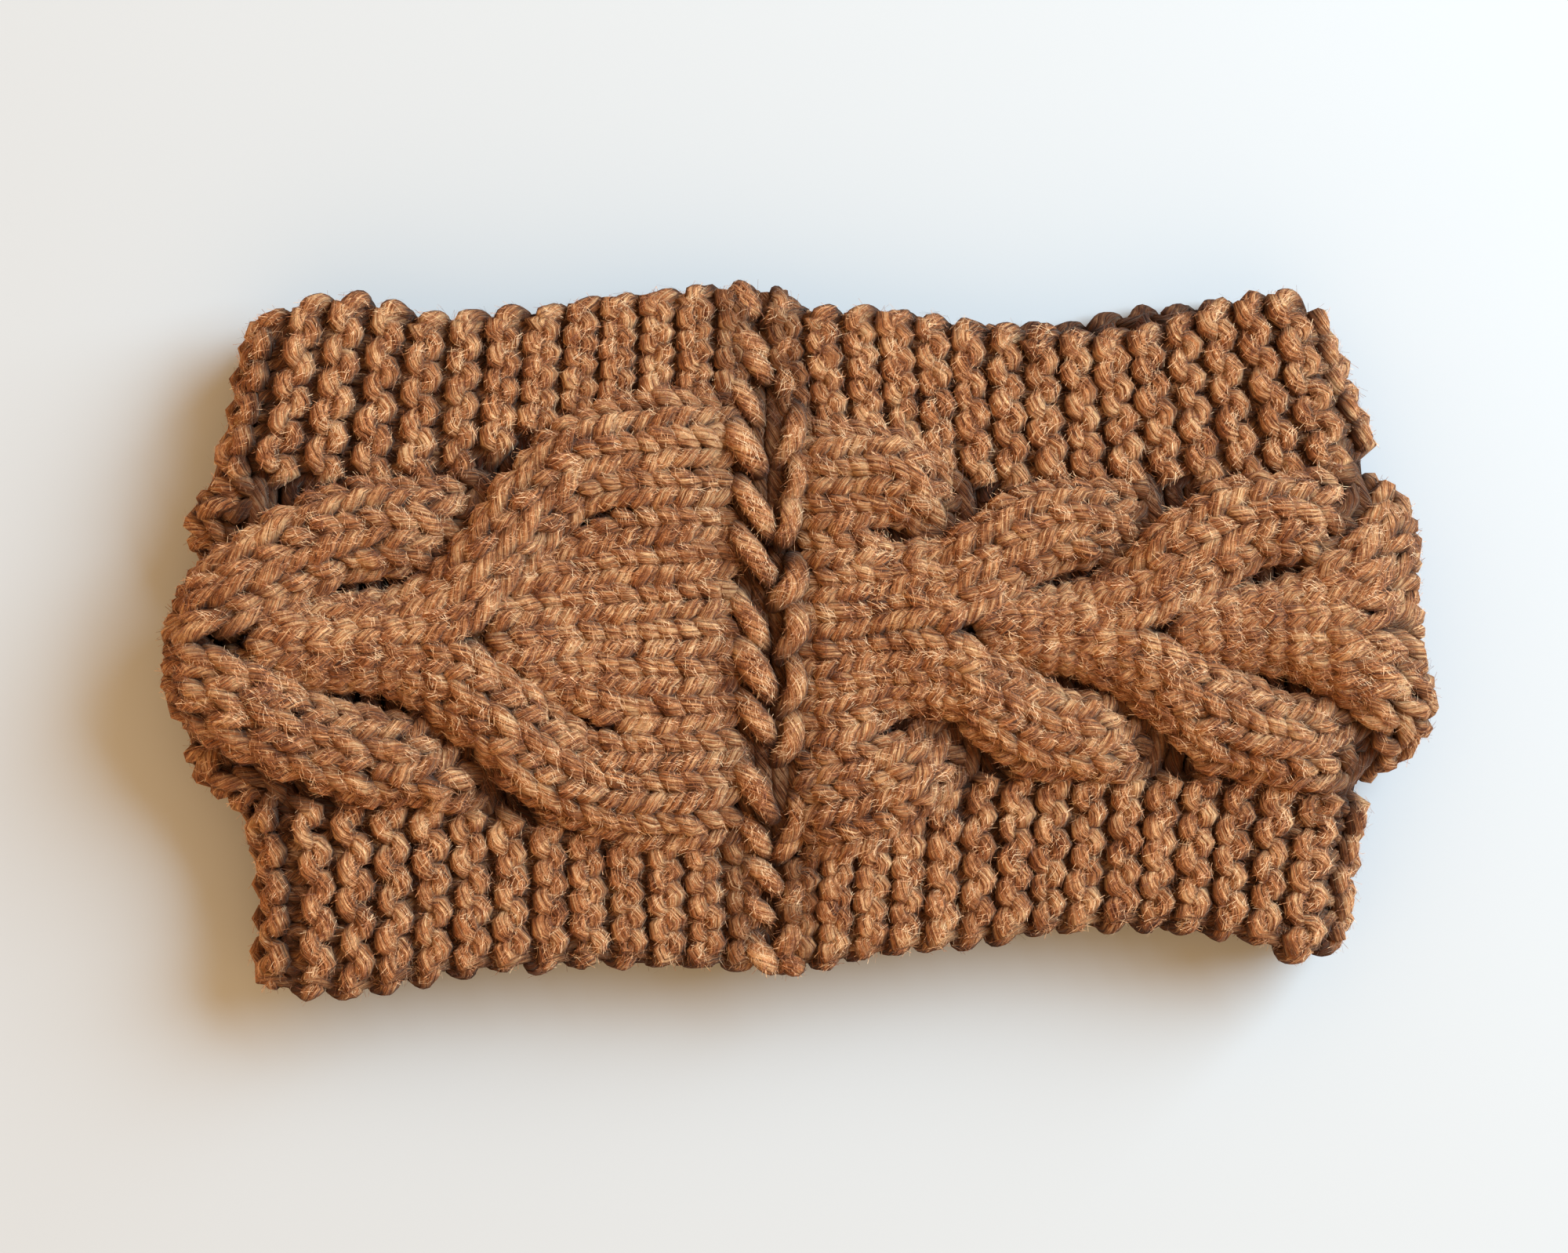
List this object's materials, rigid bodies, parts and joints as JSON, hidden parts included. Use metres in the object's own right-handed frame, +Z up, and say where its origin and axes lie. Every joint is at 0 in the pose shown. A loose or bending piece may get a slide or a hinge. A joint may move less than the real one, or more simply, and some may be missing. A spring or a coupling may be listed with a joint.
{
  "type": "ear warmer headband",
  "caption": "Hand-knitted ear warmer headband lying as a flattened loop: raised horseshoe cable panel between garter stitch borders, joined by a back seam.",
  "frame": {"origin": "middle of the footprint, on the table that the band lies on", "axes": "+X from the left fold to the right fold, +Y across the band from lower to upper edge, +Z up from the table through the lower layer, the hollow and the upper layer with the seam"},
  "size_m": [0.2404, 0.1388, 0.033],
  "materials": {
    "yarn_border": "chunky camel brown acrylic yarn, garter stitch, woolly with a soft halo",
    "yarn_cable": "the same camel brown yarn in stockinette strands, plies showing",
    "yarn_seam": "the same camel brown yarn in thick slanting seam strands"
  },
  "bodies": {
    "root": {"garter_border_upper": "yarn_border", "cable_panel": "yarn_cable", "garter_border_lower": "yarn_border", "back_seam": "yarn_seam"}
  },
  "joints": []
}
